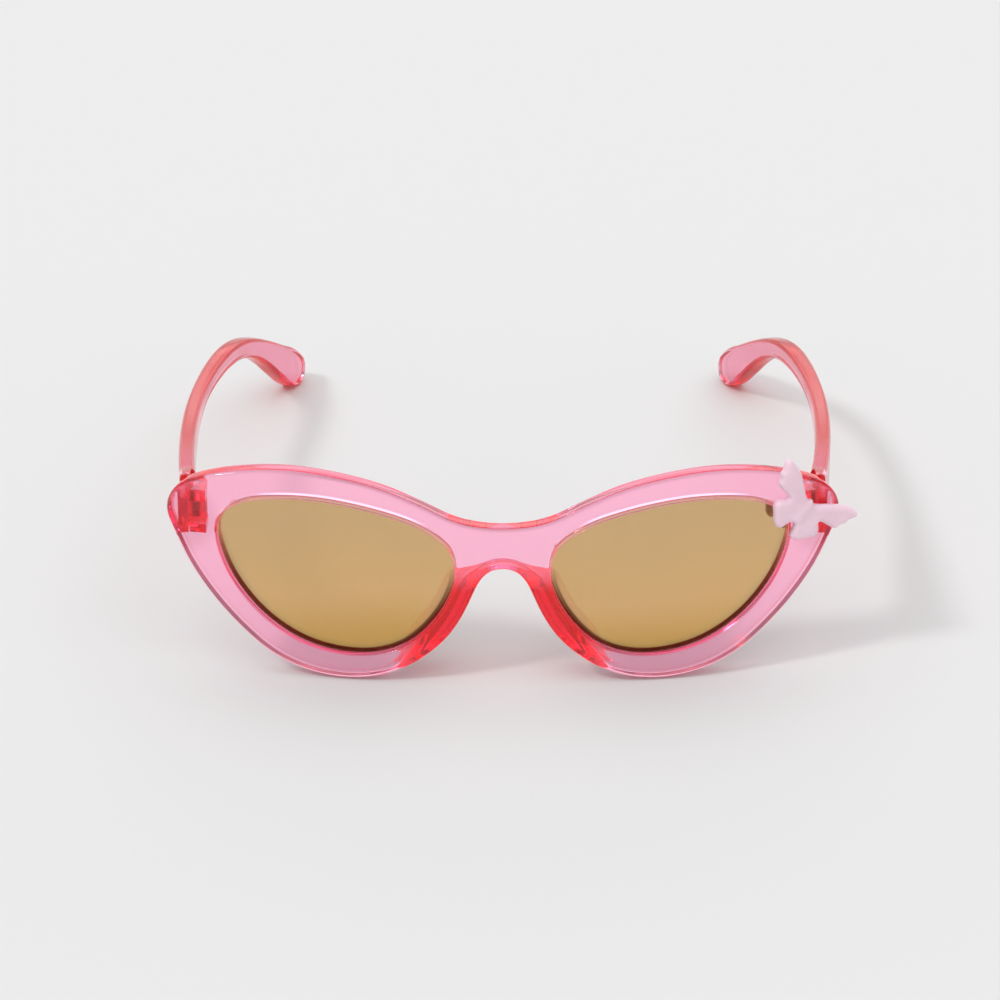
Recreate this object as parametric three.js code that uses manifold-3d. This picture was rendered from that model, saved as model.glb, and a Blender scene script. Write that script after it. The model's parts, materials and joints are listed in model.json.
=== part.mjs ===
// Child's cat eye sunglasses: a one-piece moulded front with two mirrored lenses, two folding temples on
// vertical hinge screws, and a butterfly charm on the wearer's left end piece. Millimetres, +Z up.
//
// The front is drawn flat and then wrapped round the face. Its own frame, in which everything is modelled,
// has X to the side, Y backwards from the front surface and Z up the front from the lowest point of the
// rims. The whole object then leans back until the rims and the temple tips stand on one level surface.
import * as THREE from 'three';
import { mergeVertices } from 'three/addons/utils/BufferGeometryUtils.js';
import { TessellateModifier } from 'three/addons/modifiers/TessellateModifier.js';
import Module from 'manifold-3d';

const wasm = await Module();
wasm.setup();

// ---- driving dimensions ----

const GAP = 0.3; // between pieces that touch
const SINK = 0.3; // how far joined shapes run into each other

const FRONT_THICKNESS = 4.2;
const FRONT_ROUND = 0.8; // rounding of the front's edges
const WRAP_RADIUS = 260; // of the front surface, seen from above
const FACET = 9; // longest edge of a facet that is bent

const LENS_FRONT = 2.1; // depth of the lens's front surface below the front's
const LENS_THICKNESS = 1.2;
const GROOVE_DEPTH = 1.2; // how far the lens groove runs into the rim

const PAD_THICKNESS = 1.5; // of the nose saddle and pads, seen from the front
const PAD_DEPTH = 6; // how far the pads stand out behind the front
const SADDLE_DEPTH = 1; // the same, at the top of the nose arch
const PAD_TOP = 14; // height where the pads begin to run out into the saddle
const SADDLE_BOTTOM = 23; // height where they have become the saddle
const PAD_SPLAY = 0.5; // sideways lean of the pads for each millimetre of depth
const PAD_FADE = 13; // distance from the middle where the pads begin to run out below
const PAD_FOOT = 21.5; // and where they have run out

const HINGE_X = 59.2;
const HINGE_Y = 16.3;
const HINGE_Z = 31.35; // middle of the temple's hinge tongue
const EAR_RADIUS = 2.4;
const TONGUE_HEIGHT = 3.9;
const EAR_TOP = 36;
const EAR_BOTTOM = 27.3;
const EAR_ROOT_OUTER = -5; // the ears start this far in front of the screw, inside the end piece
const EAR_ROOT_INNER = -5.8;
const SCREW_RADIUS = 0.7;
const SCREW_HEAD_RADIUS = 1.4;
const SCREW_HEAD_HEIGHT = 0.9;
const SCREW_EDGE = 0.4; // height of the slope round the head
const SCREW_SLOPE = 0.5; // width of that slope
const SLOT_WIDTH = 0.5;
const SLOT_DEPTH = 0.4;
const SCREW_END = 28.2; // height of the screw's lower end

const TEMPLE_LENGTH = 120; // from the hinge, along the temple
const TEMPLE_START = -6; // the shaft is drawn from here and cut back to meet the end piece
const TEMPLE_OUTSIDE = 3.5; // the shaft's outer face, outwards from the hinge
const HEEL_INSIDE = 1.1; // the shaft's heel in front of the hinge keeps outside this, to swing out freely
const SHAFT_THICKNESS = 3.1;
const TIP_THICKNESS = 4.5;
const THICKENING = [52, 114]; // the shaft grows to the tip's thickness between these distances
const TEMPLE_ROUND = 0.9;
const SPLAY_ANGLE = THREE.MathUtils.degToRad(6.5); // outward at the hinge
const EVEN_CURL = THREE.MathUtils.degToRad(15); // inward turn spread over the whole temple
const EAR_CURL = THREE.MathUtils.degToRad(14.3); // further inward turn behind the shaft
const LEFT_SPREAD = THREE.MathUtils.degToRad(2); // the left temple opens this much wider than the right

const CHARM_THICKNESS = 2.2;
const CHARM_ROUND = 0.6;
const CHARM_SIDE = 58; // place of the butterfly's body along the front, from the middle
const CHARM_HEIGHT = 33.9;
const CHARM_TURN = THREE.MathUtils.degToRad(-41); // from upright, towards the outside

// Right half of the front's outline, from the middle of the bridge's top round to the top of the nose arch.
const FRONT_HALF = [
  [0, 31.4], [8.3, 32.5], [16, 36], [23, 38.9], [31.5, 41], [41.5, 42.1], [50.8, 41.5], [57.8, 40],
  [62.4, 38.2], [65, 35.2], [65.5, 32.2], [64.4, 29.2], [61.2, 22.2], [57, 15.9], [51.5, 9.7], [45.2, 4.4],
  [38.5, 1.3], [30.7, 0], [23, 0.9], [16.5, 3.9], [11, 8.6], [8, 13], [5.9, 17.5], [4.5, 20.6], [2.6, 22.6],
  [0, 23.2],
];
const NOSE_FOOT = [22, 1.2]; // where the nose pad's ridge leaves the rim's edge
const NOSE_HALF = [[16.5, 3.9], [11, 8.6], [8, 13], [5.9, 17.5], [4.5, 20.6], [2.6, 22.6], [0, 23.2]];

// The right lens opening.
const OPENING = [
  [55.7, 29], [54.9, 24.5], [52.2, 18.6], [46.6, 11.9], [38.8, 6.9], [30.5, 4.9], [24, 5.2], [18.6, 7.3],
  [14, 11.5], [10.7, 16.6], [9.2, 21.9], [10.2, 26.8], [15.8, 31.1], [24.4, 34.1], [35, 36], [43.7, 36.1],
  [50.4, 35], [54.4, 32.4],
];

// The temple's side view: distance behind the hinge, and height above the hinge's middle.
const TEMPLE_TOP = [
  [TEMPLE_START, 6.3], [3, 6.1], [11, 5.5], [27, 4.3], [42, 3.9], [57.5, 4.2], [72, 5], [80, 5.2],
  [88, 4.5], [95.5, 2.7], [103, -0.1], [110.5, -3.4], [116, -5.9],
];
const TEMPLE_END = [[120.4, -10], [119.2, -14.2]];
const TEMPLE_BOTTOM = [
  [114.6, -14.4], [107, -9.6], [100.5, -5], [93.7, -1.4], [86.5, 0.5], [78.5, 1], [66, 0.6],
  [51, -0.4], [35, -2.1], [19, -4.4], [3, -5.6], [TEMPLE_START, -5.8],
];

// The root of the hinge tongue, seen from above: distance outwards from the shaft's inner face, and behind
// the screw.
const TONGUE_ROOT = [[1.5, 3], [0.5, 7], [-0.4, 6.5]];
const TONGUE_SLACK = 0.1; // the tongue's radius is this much less than the ears'

// Half of the butterfly: distance towards its head, and sideways from its body.
const BUTTERFLY_HALF = [
  [2.1, 0], [1.7, 0.8], [3.3, 3.3], [5, 5.9], [5.7, 8.3], [4.7, 9.6], [2.3, 8.7], [0.2, 7.3], [-0.4, 4.1],
  [-1.9, 5.3], [-3.2, 5.4], [-4.6, 4.2], [-6.1, 2.5], [-6.1, 1.4], [-3.8, 0.4],
];

// ---- materials ----

function plastic(name, color, roughness) {
  return new THREE.MeshStandardMaterial({ name, color, roughness, metalness: 0 });
}

const framePlastic = plastic('frame_plastic', 0xf8adc4, 0.15);
const templePlastic = plastic('temple_plastic', 0xf07f92, 0.15);
const charmPlastic = plastic('charm_plastic', 0xe2c4d2, 0.4);
const mirrorLens = new THREE.MeshStandardMaterial({
  name: 'lens', color: 0xc7a578, roughness: 0.1, metalness: 0.6,
});
const screwSteel = new THREE.MeshStandardMaterial({
  name: 'steel', color: 0xb9b9bd, roughness: 0.3, metalness: 1,
});

// ---- shape helpers ----

function solidOf(geometry) {
  const bare = new THREE.BufferGeometry();
  bare.setAttribute('position', geometry.getAttribute('position'));
  bare.setIndex(geometry.getIndex());
  const merged = mergeVertices(bare, 1e-4);
  return new wasm.Manifold(new wasm.Mesh({
    numProp: 3,
    vertProperties: new Float32Array(merged.getAttribute('position').array),
    triVerts: new Uint32Array(merged.getIndex().array),
  }));
}

function geometryOf(solid) {
  const mesh = solid.getMesh();
  const geometry = new THREE.BufferGeometry();
  geometry.setAttribute('position', new THREE.BufferAttribute(new Float32Array(mesh.vertProperties), 3));
  geometry.setIndex(new THREE.BufferAttribute(new Uint32Array(mesh.triVerts), 1));
  geometry.computeVertexNormals();
  return geometry;
}

function named(name, solid, material) {
  const mesh = new THREE.Mesh(geometryOf(solid), material);
  mesh.name = name;
  return mesh;
}

// Moves every corner of a geometry to where move(point) puts it.
function reshape(geometry, move) {
  const position = geometry.getAttribute('position');
  const point = new THREE.Vector3();
  for (let i = 0; i < position.count; i += 1) {
    move(point.fromBufferAttribute(position, i));
    position.setXYZ(i, point.x, point.y, point.z);
  }
  return geometry;
}

// The same shape on the other side of the middle plane, with its faces still pointing out.
function mirrored(geometry) {
  const copy = geometry.index ? geometry.toNonIndexed() : geometry.clone();
  reshape(copy, (point) => point.setX(-point.x));
  const position = copy.getAttribute('position');
  const a = new THREE.Vector3();
  const b = new THREE.Vector3();
  for (let i = 0; i < position.count; i += 3) {
    a.fromBufferAttribute(position, i);
    b.fromBufferAttribute(position, i + 1);
    position.setXYZ(i, b.x, b.y, b.z);
    position.setXYZ(i + 1, a.x, a.y, a.z);
  }
  return copy;
}

function onSide(side, geometry) {
  return side > 0 ? geometry : mirrored(geometry);
}

// A smooth closed line through the points, with a number of steps between each two.
function smoothLoop(points, steps) {
  const curve = new THREE.CatmullRomCurve3(points.map(([x, y]) => new THREE.Vector3(x, y, 0)), true);
  const line = curve.getPoints(points.length * steps).slice(0, -1);
  return line.map((p) => new THREE.Vector2(p.x, p.y));
}

// A smooth open line through the points.
function smoothLine(points, steps) {
  const curve = new THREE.CatmullRomCurve3(points.map(([x, y]) => new THREE.Vector3(x, y, 0)));
  return curve.getPoints((points.length - 1) * steps).map((p) => new THREE.Vector2(p.x, p.y));
}

// The line moved to its left by a distance, which is outwards on a clockwise loop.
function grown(loop, distance) {
  return loop.map((point, i) => {
    const before = loop[(i + loop.length - 1) % loop.length];
    const after = loop[(i + 1) % loop.length];
    const along = after.clone().sub(before).normalize();
    return new THREE.Vector2(point.x - along.y * distance, point.y + along.x * distance);
  });
}

// A plate between two depths, drawn from the front, with rounded edges. Depth runs towards -Z.
function plate(outline, near, far, round = 0, holes = []) {
  const clockwise = THREE.ShapeUtils.isClockWise(outline);
  const shape = new THREE.Shape(clockwise ? [...outline].reverse() : outline);
  shape.holes = holes.map((hole) => new THREE.Path(hole));
  const geometry = new THREE.ExtrudeGeometry(shape, {
    depth: far - near - 2 * round,
    bevelEnabled: round > 0,
    bevelThickness: round,
    bevelSize: round,
    bevelOffset: -round,
    bevelSegments: 2,
  });
  return geometry.translate(0, 0, round - far);
}

function fine(geometry, longest) {
  return new TessellateModifier(longest, 40).modify(geometry);
}

// Bends a plate drawn from the front round the face.
function wrapped(geometry) {
  return reshape(geometry, (point) => {
    const angle = point.x / WRAP_RADIUS;
    const radius = WRAP_RADIUS + point.z;
    point.set(radius * Math.sin(angle), WRAP_RADIUS - radius * Math.cos(angle), point.y);
  });
}

// A plate drawn from above, between two heights.
function slab(outline, low, high) {
  const shape = new THREE.Shape(outline.map(([x, y]) => new THREE.Vector2(x, y)));
  return new THREE.ExtrudeGeometry(shape, { depth: high - low, bevelEnabled: false }).translate(0, 0, low);
}

function upright(radius, low, high) {
  const cylinder = new THREE.CylinderGeometry(radius, radius, high - low, 20);
  return cylinder.rotateX(Math.PI / 2).translate(0, 0, (low + high) / 2);
}

// Points of an arc about the hinge, as seen from above; angles in radians from +X.
function arc(radius, from, to, steps) {
  return Array.from({ length: steps + 1 }, (_, i) => {
    const angle = from + ((to - from) * i) / steps;
    return [radius * Math.cos(angle), radius * Math.sin(angle)];
  });
}

// ---- front ----

const frontHalf = FRONT_HALF.slice(1, -1);
const otherHalf = frontHalf.map(([x, y]) => [-x, y]).reverse();
const frontLoop = smoothLoop([FRONT_HALF[0], ...frontHalf, FRONT_HALF.at(-1), ...otherHalf], 2);
const openingLoop = smoothLoop(OPENING, 3);

function otherSide(loop) {
  return loop.map((point) => new THREE.Vector2(-point.x, point.y)).reverse();
}

function frontPlate() {
  const holes = [openingLoop, otherSide(openingLoop)];
  return solidOf(wrapped(fine(plate(frontLoop, 0, FRONT_THICKNESS, FRONT_ROUND, holes), FACET)));
}

function lensGroove(side) {
  const outline = grown(openingLoop, GROOVE_DEPTH);
  const groove = plate(outline, LENS_FRONT - GAP, LENS_FRONT + LENS_THICKNESS + GAP);
  return solidOf(wrapped(onSide(side, fine(groove, FACET))));
}

// How far the nose ridge stands out behind the front, by height and by distance from the middle.
function ridgeDepth(x, y) {
  const arch = THREE.MathUtils.smoothstep(y, PAD_TOP, SADDLE_BOTTOM);
  const foot = 1 - THREE.MathUtils.smoothstep(Math.abs(x), PAD_FADE, PAD_FOOT);
  return THREE.MathUtils.lerp(PAD_DEPTH, SADDLE_DEPTH, arch) * foot;
}

// The nose saddle and both pads: one ridge that follows the nose opening and leans outwards as it runs back.
function noseRidge() {
  const half = [NOSE_FOOT, ...NOSE_HALF];
  const whole = [...half, ...half.slice(0, -1).map(([x, y]) => [-x, y]).reverse()];
  const inner = grown(smoothLine(whole, 3), -FRONT_ROUND / 2);
  const outer = grown(inner, -PAD_THICKNESS);
  const ends = [inner, outer].map((line) => line.slice(1, -1));
  const ridge = plate([...ends[0], ...ends[1].reverse()], 0, 1);
  reshape(ridge, (point) => {
    const along = -point.z;
    const front = FRONT_THICKNESS / 2;
    const behind = ridgeDepth(point.x, point.y) * along;
    const depth = front + (FRONT_THICKNESS / 2 - SINK) * along + behind;
    const sides = THREE.MathUtils.clamp(point.x / NOSE_HALF[3][0], -1, 1);
    point.x += sides * behind * PAD_SPLAY;
    point.z = -depth;
  });
  return solidOf(wrapped(ridge));
}

// One ear of the hinge, drawn about the screw: rounded behind, and rooted in the end piece in front.
function hingeEar(low, high) {
  const outerEnd = Math.acos((HEEL_INSIDE - GAP) / EAR_RADIUS);
  const outline = [
    [HEEL_INSIDE - GAP, EAR_ROOT_OUTER],
    ...arc(EAR_RADIUS, -outerEnd, Math.PI, 14),
    [-EAR_RADIUS, EAR_ROOT_INNER],
  ];
  return slab(outline, low, high);
}

function atHinge(side, geometry) {
  return solidOf(onSide(side, geometry.translate(HINGE_X, HINGE_Y, 0)));
}

function hingeEars(side) {
  const tongueLow = HINGE_Z - TONGUE_HEIGHT / 2;
  const tongueHigh = HINGE_Z + TONGUE_HEIGHT / 2;
  const bore = upright(SCREW_RADIUS + GAP, SCREW_END - GAP, EAR_TOP + 1);
  const countersink = upright(SCREW_HEAD_RADIUS + GAP, EAR_TOP - SCREW_HEAD_HEIGHT - GAP, EAR_TOP + 1);
  return atHinge(side, hingeEar(EAR_BOTTOM, tongueLow - GAP))
    .add(atHinge(side, hingeEar(tongueHigh + GAP, EAR_TOP)))
    .subtract(atHinge(side, bore))
    .subtract(atHinge(side, countersink));
}

function front() {
  let solid = frontPlate().add(noseRidge());
  for (const side of [1, -1]) {
    solid = solid.add(hingeEars(side)).subtract(lensGroove(side));
  }
  return named('front_frame', solid, framePlastic);
}

// ---- lenses ----

function lens(name, side) {
  const outline = grown(openingLoop, GROOVE_DEPTH - GAP);
  const disc = plate(outline, LENS_FRONT, LENS_FRONT + LENS_THICKNESS);
  return named(name, solidOf(wrapped(onSide(side, fine(disc, FACET)))), mirrorLens);
}

// ---- hinge screws ----

function hingeScrew(name, side) {
  const head = EAR_TOP - SCREW_HEAD_HEIGHT;
  const profile = [
    [0, SCREW_END], [SCREW_RADIUS, SCREW_END], [SCREW_RADIUS, head], [SCREW_HEAD_RADIUS, head],
    [SCREW_HEAD_RADIUS, EAR_TOP - SCREW_EDGE], [SCREW_HEAD_RADIUS - SCREW_SLOPE, EAR_TOP], [0, EAR_TOP],
  ].map(([r, z]) => new THREE.Vector2(r, z));
  const turned = new THREE.LatheGeometry(profile, 16).rotateX(Math.PI / 2);
  const slot = new THREE.BoxGeometry(4 * SCREW_HEAD_RADIUS, SLOT_WIDTH, 2 * SLOT_DEPTH);
  slot.translate(0, 0, EAR_TOP);
  const screw = atHinge(side, turned).subtract(atHinge(side, slot));
  return named(name, screw, screwSteel);
}

// ---- temples ----

function inwardHeading(along) {
  const t = along / TEMPLE_LENGTH;
  return -SPLAY_ANGLE + EVEN_CURL * t + EAR_CURL * THREE.MathUtils.smoothstep(t, 0.25, 0.9);
}

// The temple's middle line seen from above, from the hinge backwards, with +X outwards.
function middleLine(along) {
  const steps = 24;
  const point = new THREE.Vector2(TEMPLE_OUTSIDE - SHAFT_THICKNESS / 2, 0);
  for (let i = 0; i < steps; i += 1) {
    const heading = inwardHeading((along * (i + 0.5)) / steps);
    point.x -= (Math.sin(heading) * along) / steps;
    point.y += (Math.cos(heading) * along) / steps;
  }
  return point;
}

function templeThickness(along) {
  const share = THREE.MathUtils.smoothstep(along, ...THICKENING);
  return THREE.MathUtils.lerp(SHAFT_THICKNESS, TIP_THICKNESS, share);
}

// The shaft and ear tip: a side view with rounded edges, given its thickness and bent along the middle line.
function templeShaft() {
  const top = smoothLine([...TEMPLE_TOP, ...TEMPLE_END, ...TEMPLE_BOTTOM], 2);
  const half = SHAFT_THICKNESS / 2;
  const flat = fine(plate(top, -half, half, TEMPLE_ROUND), FACET);
  return reshape(flat, (point) => {
    const along = point.x;
    const heading = inwardHeading(along);
    const middle = middleLine(along);
    const outward = (point.z * templeThickness(along)) / SHAFT_THICKNESS;
    const height = HINGE_Z + point.y;
    point.set(middle.x + Math.cos(heading) * outward, middle.y + Math.sin(heading) * outward, height);
  });
}

// The tongue that turns between the ears.
function templeTongue() {
  const innerFace = TEMPLE_OUTSIDE - SHAFT_THICKNESS;
  const root = TONGUE_ROOT.map(([outwards, behind]) => [innerFace + outwards, behind]);
  const outline = [...root, ...arc(EAR_RADIUS - TONGUE_SLACK, Math.PI * 0.9, Math.PI * 1.85, 10)];
  return slab(outline, HINGE_Z - TONGUE_HEIGHT / 2, HINGE_Z + TONGUE_HEIGHT / 2);
}

// Room in the temple for the ears above and below the tongue, and for the swing past the end piece.
function templeClearance(side) {
  const tongueLow = HINGE_Z - TONGUE_HEIGHT / 2;
  const tongueHigh = HINGE_Z + TONGUE_HEIGHT / 2;
  const far = 2 * TEMPLE_OUTSIDE + SHAFT_THICKNESS; // past every face of the temple's root
  const inFront = [[-far, -far], [HEEL_INSIDE, -far], [HEEL_INSIDE, 0], [-far, 0]];
  const swing = slab(inFront, HINGE_Z - far, HINGE_Z + far);
  const face = new THREE.BoxGeometry(4 * far, 4 * far, FRONT_THICKNESS + 2 * GAP);
  face.translate(HINGE_X, HINGE_Z, -FRONT_THICKNESS / 2);
  return atHinge(side, upright(EAR_RADIUS + GAP, HINGE_Z - far, tongueLow))
    .add(atHinge(side, upright(EAR_RADIUS + GAP, tongueHigh, HINGE_Z + far)))
    .add(atHinge(side, swing))
    .add(solidOf(onSide(side, wrapped(fine(face, FACET / 3)))));
}

function temple(name, side, spread) {
  const bore = upright(SCREW_RADIUS + GAP, EAR_BOTTOM, EAR_TOP);
  const solid = atHinge(side, templeShaft().rotateZ(-spread))
    .subtract(templeClearance(side))
    .add(atHinge(side, templeTongue().rotateZ(-spread)))
    .subtract(atHinge(side, bore));
  return named(name, solid, templePlastic);
}

// ---- butterfly charm ----

function butterfly() {
  const half = BUTTERFLY_HALF.map(([ahead, aside]) => [aside, ahead]);
  const loop = smoothLoop([...half, ...half.slice(1).map(([x, y]) => [-x, y]).reverse()], 2);
  const place = new THREE.Vector2(CHARM_SIDE, CHARM_HEIGHT);
  const origin = new THREE.Vector2();
  const outline = loop.map((point) => point.rotateAround(origin, CHARM_TURN).add(place));
  const disc = plate(outline, -GAP - CHARM_THICKNESS, -GAP, CHARM_ROUND);
  return named('butterfly_charm', solidOf(wrapped(disc)), charmPlastic);
}

// ---- assembly ----

const LEFT = 1; // the wearer's left is +X, since the wearer looks along -Y
const RIGHT = -1;

const pieces = new THREE.Group();
pieces.add(
  front(),
  lens('lens_left', LEFT),
  lens('lens_right', RIGHT),
  hingeScrew('hinge_screw_left', LEFT),
  hingeScrew('hinge_screw_right', RIGHT),
  temple('temple_left', LEFT, LEFT_SPREAD),
  temple('temple_right', RIGHT, 0),
  butterfly(),
);

// Leans the object back until the rims and the temple tips are level.
function lowest(name) {
  pieces.updateMatrixWorld(true);
  return new THREE.Box3().setFromObject(pieces.getObjectByName(name), true).min.z;
}

for (let turn = 0; turn < 8; turn += 1) {
  const tipAboveRims = lowest('temple_left') - lowest('front_frame');
  pieces.rotation.x -= tipAboveRims / (TEMPLE_LENGTH + HINGE_Y);
}

const sunglasses = new THREE.Group();
sunglasses.add(pieces);
pieces.updateMatrixWorld(true);
const box = new THREE.Box3().setFromObject(pieces, true);
pieces.position.set(-(box.min.x + box.max.x) / 2, -(box.min.y + box.max.y) / 2, -box.min.z);

export default sunglasses;
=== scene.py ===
"""Child's cat eye sunglasses: clear pink moulded front and temples, gold mirror lenses, butterfly charm.

Shapes are drawn in millimetres in the front's own frame (x to the side, y backwards from the front surface,
z up the front), as in the CAD source, and are then moved into the row frame by way of the hinges.
"""

import json
import math

import bpy
import numpy as np
from mathutils import Matrix, Vector
from mathutils.geometry import delaunay_2d_cdt


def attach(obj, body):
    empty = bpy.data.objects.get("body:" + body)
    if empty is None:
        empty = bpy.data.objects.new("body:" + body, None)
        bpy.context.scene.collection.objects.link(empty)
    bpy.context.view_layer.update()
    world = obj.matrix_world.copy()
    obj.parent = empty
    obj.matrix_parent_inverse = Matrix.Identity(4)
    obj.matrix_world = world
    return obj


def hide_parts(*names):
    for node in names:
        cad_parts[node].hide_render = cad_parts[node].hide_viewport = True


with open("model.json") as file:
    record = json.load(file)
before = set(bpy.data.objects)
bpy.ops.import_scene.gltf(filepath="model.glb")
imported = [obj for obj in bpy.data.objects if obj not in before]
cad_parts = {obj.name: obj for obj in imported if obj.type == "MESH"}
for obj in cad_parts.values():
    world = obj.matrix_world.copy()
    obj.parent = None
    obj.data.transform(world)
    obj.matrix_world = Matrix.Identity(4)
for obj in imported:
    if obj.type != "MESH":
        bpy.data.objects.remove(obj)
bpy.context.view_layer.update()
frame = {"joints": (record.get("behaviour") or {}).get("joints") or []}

# ---- dimensions in millimetres: the CAD's, apart from the groove, nose ridge and temple corner ----

GAP = 0.3
FRONT_THICKNESS = 4.2
WRAP_RADIUS = 260.0
LENS_FRONT = 2.1
LENS_THICKNESS = 1.2
GROOVE_DEPTH = 0.65
NOSE_HEIGHT = 24.0
NOSE_SIDE = 5.9
SADDLE_WIDTH, PAD_WIDTH = 1.3, 2.9
SADDLE_DEPTH, PAD_DEPTH = 1.0, 6.0
PAD_TOP, SADDLE_BOTTOM = 18.4, 22.2
PAD_FADE, PAD_FOOT = 13.0, 21.5  # from the middle to where each pad starts to fade and to its end
PAD_SPLAY = 0.5

HINGE = (59.2, 16.3, 31.35)
EAR_RADIUS = 2.4
TONGUE_HEIGHT = 3.9
EAR_TOP, EAR_BOTTOM = 36.0, 27.3
SCREW_RADIUS, SCREW_HEAD_RADIUS, SCREW_HEAD_HEIGHT = 0.7, 1.4, 0.9
SCREW_END = 28.2

TEMPLE_LENGTH = 120.0
TEMPLE_OUTSIDE = 3.5
HEEL_INSIDE = 1.1
SHAFT_THICKNESS, TIP_THICKNESS = 3.1, 4.5
THICKENING = (52.0, 114.0)
SPLAY_ANGLE, EVEN_CURL, EAR_CURL = (math.radians(a) for a in (6.5, 15.0, 14.3))
EAR_CURL_RANGE = (0.25, 0.9)  # as shares of the temple's length
LEFT_SPREAD = math.radians(2.0)

CHARM_THICKNESS = 2.2
CHARM_PLACE = (58.0, 33.9)
CHARM_TURN = math.radians(-41)

FRONT_HALF = [
    (0, 31.4), (8.3, 32.5), (16, 36), (23, 38.9), (31.5, 41), (41.5, 42.1), (50.8, 41.5), (57.8, 40),
    (62.4, 38.2), (65, 35.2), (65.5, 32.2), (64.4, 29.2), (61.2, 22.2), (57, 15.9), (51.5, 9.7),
    (45.2, 4.4), (38.5, 1.3), (30.7, 0), (23, 0.9), (16.5, 3.9), (11, 8.6), (8, 13), (5.9, 17.5),
    (4.5, 20.6), (2.6, 22.6), (0, 23.2),
]
OPENING = [
    (55.7, 29), (54.9, 24.5), (52.2, 18.6), (46.6, 11.9), (38.8, 6.9), (30.5, 4.9), (24, 5.2), (18.6, 7.3),
    (14, 11.5), (10.7, 16.6), (9.2, 21.9), (10.2, 26.8), (15.8, 31.1), (24.4, 34.1), (35, 36), (43.7, 36.1),
    (50.4, 35), (54.4, 32.4),
]
TEMPLE_SIDE = [
    (-6, 6.3), (3, 6.1), (11, 5.5), (27, 4.3), (42, 3.9), (57.5, 4.2), (72, 5), (80, 5.2), (88, 4.5),
    (95.5, 2.7), (103, -0.1), (110.5, -3.4), (116, -5.9), (120.4, -10), (119.2, -14.2), (114.6, -14.4),
    (107, -9.6), (100.5, -5), (93.7, -1.4), (86.5, 0.5), (78.5, 1), (66, 0.6), (51, -0.4), (35, -2.1),
    (19, -4.4), (9, -5.1), (3, -4.9), (-6, -3.6),
]
BUTTERFLY_HALF = [
    (2.1, 0), (1.7, 0.8), (3.3, 3.3), (5, 5.9), (5.6, 8.3), (5.4, 9.3), (4.8, 9.5), (3.9, 9.1), (3.2, 8.7),
    (2.3, 8.6), (1.6, 8.0), (0.7, 7.8), (0.2, 7.1), (0, 5.7), (-0.4, 4.1),
    (-1.9, 5.3), (-3.2, 5.4), (-4.6, 4.2), (-6.1, 2.5), (-6.1, 1.4), (-3.8, 0.4),
]

# ---- from the front's frame to the row frame ----

joints = {j["name"]: j for j in frame["joints"]}
left_joint, right_joint = joints["temple_left_fold"], joints["temple_right_fold"]
axis = Vector(left_joint["axis"])
lean = Matrix.Rotation(math.atan2(-axis.y, axis.z), 4, "X")
place = Vector(left_joint["pos_m"]) - lean @ (Vector(HINGE) * 0.001)
TO_ROW = Matrix.Translation(place) @ lean @ Matrix.Scale(0.001, 4)

# ---- lines ----

CURVE_STEPS = 12  # between two drawn points
ARC_STEPS = 24


def smooth_line(points):
    """A closed centripetal Catmull-Rom line through the points."""
    pts = np.array(points, float)
    line = []
    for i, a in enumerate(pts):
        before, b, after = pts[i - 1], pts[(i + 1) % len(pts)], pts[(i + 2) % len(pts)]
        d0, d1, d2 = (np.linalg.norm(q - p) ** 0.5 for p, q in ((before, a), (a, b), (b, after)))
        t1 = ((a - before) / d0 - (b - before) / (d0 + d1) + (b - a) / d1) * d1
        t2 = ((b - a) / d1 - (after - a) / (d1 + d2) + (after - b) / d2) * d1
        t = np.linspace(0, 1, CURVE_STEPS, endpoint=False)[:, None]
        line.append(a + t1 * t + (3 * (b - a) - 2 * t1 - t2) * t**2 + (2 * (a - b) + t1 + t2) * t**3)
    return np.concatenate(line)


def mirrored(points):
    """The points on the other side, in reverse order."""
    return [(-x, y) for x, y in reversed(points)]


def even(loop, spacing):
    """The closed loop with evenly spaced points, counterclockwise."""
    x, y = loop.T
    if np.dot(x, np.roll(y, -1)) < np.dot(np.roll(x, -1), y):
        loop = loop[::-1]
    ring = np.vstack([loop, loop[:1]])
    length = np.concatenate([[0], np.cumsum(np.linalg.norm(np.diff(ring, axis=0), axis=1))])
    at = np.linspace(0, length[-1], int(length[-1] / spacing), endpoint=False)
    return np.column_stack([np.interp(at, length, ring[:, k]) for k in (0, 1)])


def faired(loop, sigma):
    """The evenly spaced loop without its small wobbles; sigma is in points."""
    wave = np.fft.fftfreq(len(loop))[:, None]
    keep = np.exp(-2 * (math.pi * wave * sigma) ** 2)
    return np.fft.ifft(np.fft.fft(loop, axis=0) * keep, axis=0).real


def normals(loop):
    """Outward unit normals of a counterclockwise loop."""
    along = np.roll(loop, -1, axis=0) - np.roll(loop, 1, axis=0)
    along /= np.linalg.norm(along, axis=1)[:, None]
    return np.column_stack([along[:, 1], -along[:, 0]])


def inside(points, loop):
    """Which points are inside the loop."""
    x, y = points[:, 0:1], points[:, 1:2]
    x0, y0 = loop[:, 0], loop[:, 1]
    x1, y1 = np.roll(x0, -1), np.roll(y0, -1)
    crosses = (y0 > y) != (y1 > y)
    with np.errstate(divide="ignore", invalid="ignore"):
        at = x0 + (y - y0) / (y1 - y0) * (x1 - x0)
    return np.sum(crosses & (x < at), axis=1) % 2 == 1


def distance(points, loop):
    """Distance from each point to the nearest of the loop's points."""
    return np.sqrt(((points[:, None] - loop[None]) ** 2).sum(2)).min(1)


def smoothstep(t, low, high):
    """0 below low, 1 above high, and a soft step between them."""
    t = np.clip((t - low) / (high - low), 0, 1)
    return t * t * (3 - 2 * t)


def turned(x, y, angle):
    """The place turned clockwise by the angle, seen from above."""
    return x * math.cos(angle) + y * math.sin(angle), y * math.cos(angle) - x * math.sin(angle)


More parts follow.
